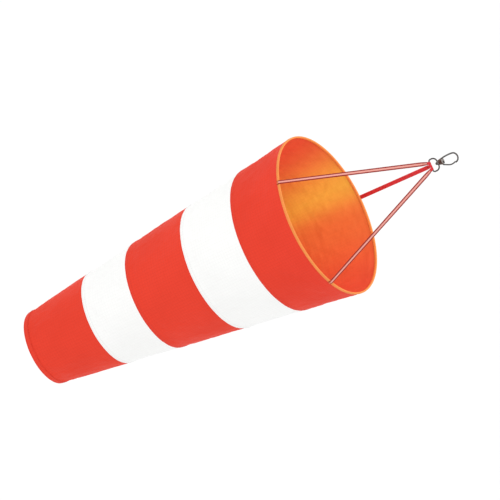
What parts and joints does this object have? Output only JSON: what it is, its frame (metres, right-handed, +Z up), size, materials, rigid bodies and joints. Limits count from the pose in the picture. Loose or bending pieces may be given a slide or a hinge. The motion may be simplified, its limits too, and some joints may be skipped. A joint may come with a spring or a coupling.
{
  "type": "hanging windsock",
  "caption": "Tapered striped fabric windsock, open at both ends, on a wire-hooped mouth, hung by a tape bridle from a swivel snap hook.",
  "frame": {"origin": "the seat inside the hook's bow, on the swivel axis, where the ring, cord or arm that carries the windsock bears", "axes": "+Z up along the swivel axis, from the sock to the hook; the hook and the eye lie in the XZ plane, with the gate on +X; the eye's bar, which the sock swings on, runs along X"},
  "size_m": [0.2945, 0.2954, 0.8731],
  "materials": {
    "red_fabric": "woven",
    "white_fabric": "woven",
    "orange_binding": "woven tape",
    "orange_lining": "woven",
    "red_tape": "woven tape",
    "red_thread": "stitched",
    "spring_steel": "drawn wire",
    "dark_metal": "satin",
    "bronze_metal": "satin",
    "light_metal": "satin"
  },
  "bodies": {
    "hook": {"hook_bow": "dark_metal", "swivel_barrel": "bronze_metal", "gate_pin": "light_metal", "gate_spring": "spring_steel", "swivel_stud": "dark_metal"},
    "gate": {"hook_gate": "light_metal"},
    "eye": {"swivel_eye": "dark_metal", "swivel_washer": "light_metal"},
    "sock": {"mouth_hoop": "spring_steel", "hoop_ferrule": "light_metal", "mouth_binding": "orange_binding", "mouth_lining": "orange_lining", "tail_hem": "red_fabric", "bridle_loop_tacks": "red_thread", "bridle_rim_tacks": "red_thread", "bridle_tape_left": "red_tape", "bridle_tape_right": "red_tape", "bridle_tape_rear": "red_tape", "red_band_mouth": "red_fabric", "white_band_front": "white_fabric", "red_band_middle": "red_fabric", "white_band_rear": "white_fabric", "red_band_tail": "red_fabric"}
  },
  "joints": [
    {"name": "gate_hinge", "type": "hinge", "parent": "hook", "child": "gate", "pos_m": [0.0032, 0, -0.0306], "axis": [0, -1, 0], "range_deg": [0, 24], "stiffness_Nm_per_rad": 0.03, "springref_deg": -28.65},
    {"name": "eye_swivel", "type": "hinge", "parent": "hook", "child": "eye", "pos_m": [0, 0, -0.0373], "axis": [0, 0, 1], "continuous": true},
    {"name": "sock_swing", "type": "hinge", "parent": "eye", "child": "sock", "pos_m": [0, 0, -0.052], "axis": [1, 0, 0], "range_deg": [-90, 90]}
  ]
}
